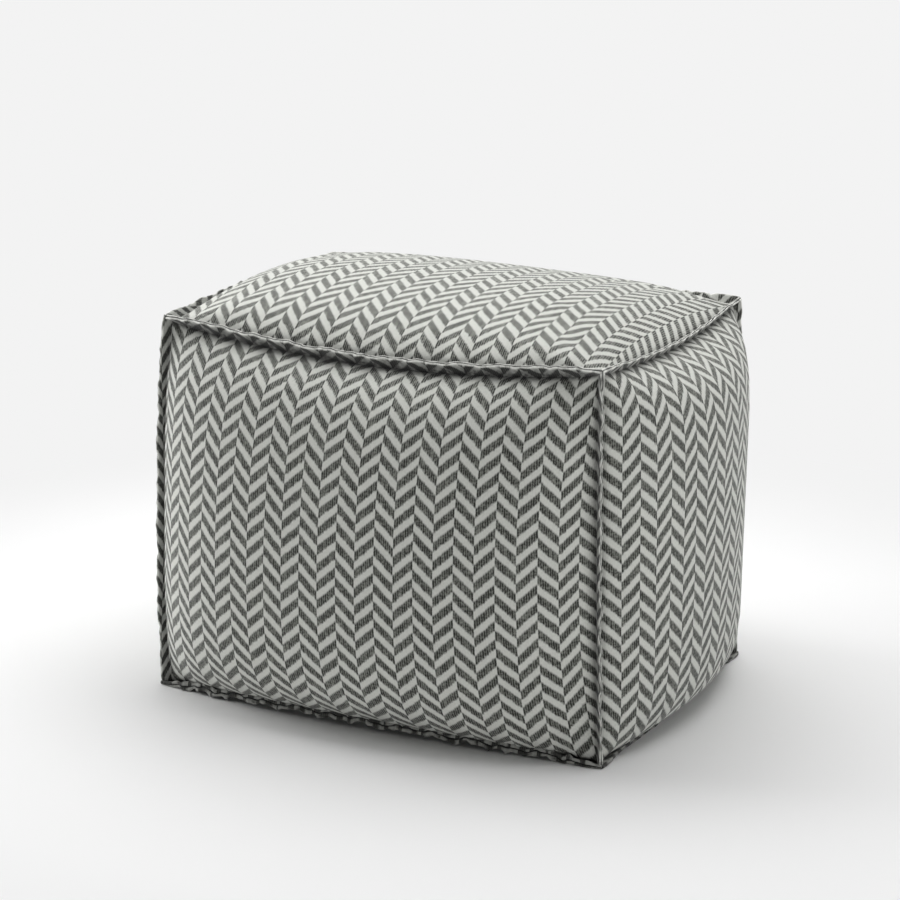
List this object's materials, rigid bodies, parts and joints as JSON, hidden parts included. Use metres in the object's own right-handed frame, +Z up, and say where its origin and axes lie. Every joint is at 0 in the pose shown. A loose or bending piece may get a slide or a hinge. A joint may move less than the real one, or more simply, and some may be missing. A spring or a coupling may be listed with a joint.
{
  "type": "pouf stool",
  "caption": "Firmly filled rectangular floor pouf in herringbone cloth, with bellied panels and raised flange seams along every edge, used as a low seat or footrest.",
  "frame": {"origin": "on the floor, under the middle of the pouf", "axes": "+X to the right along the wide front, +Y from the front panel to the back panel, +Z up"},
  "size_m": [0.6058, 0.5009, 0.4379],
  "materials": {
    "cover_cloth": "matte herringbone weave in pale grey and charcoal",
    "seam_cloth": "matte folded edge of the same cloth"
  },
  "bodies": {
    "root": {"filled_cover": "cover_cloth", "seam_top_front": "seam_cloth", "seam_top_back": "seam_cloth", "seam_top_left": "seam_cloth", "seam_top_right": "seam_cloth", "seam_base_front": "seam_cloth", "seam_base_back": "seam_cloth", "seam_base_left": "seam_cloth", "seam_base_right": "seam_cloth", "seam_front_left": "seam_cloth", "seam_front_right": "seam_cloth", "seam_back_left": "seam_cloth", "seam_back_right": "seam_cloth"}
  },
  "joints": []
}
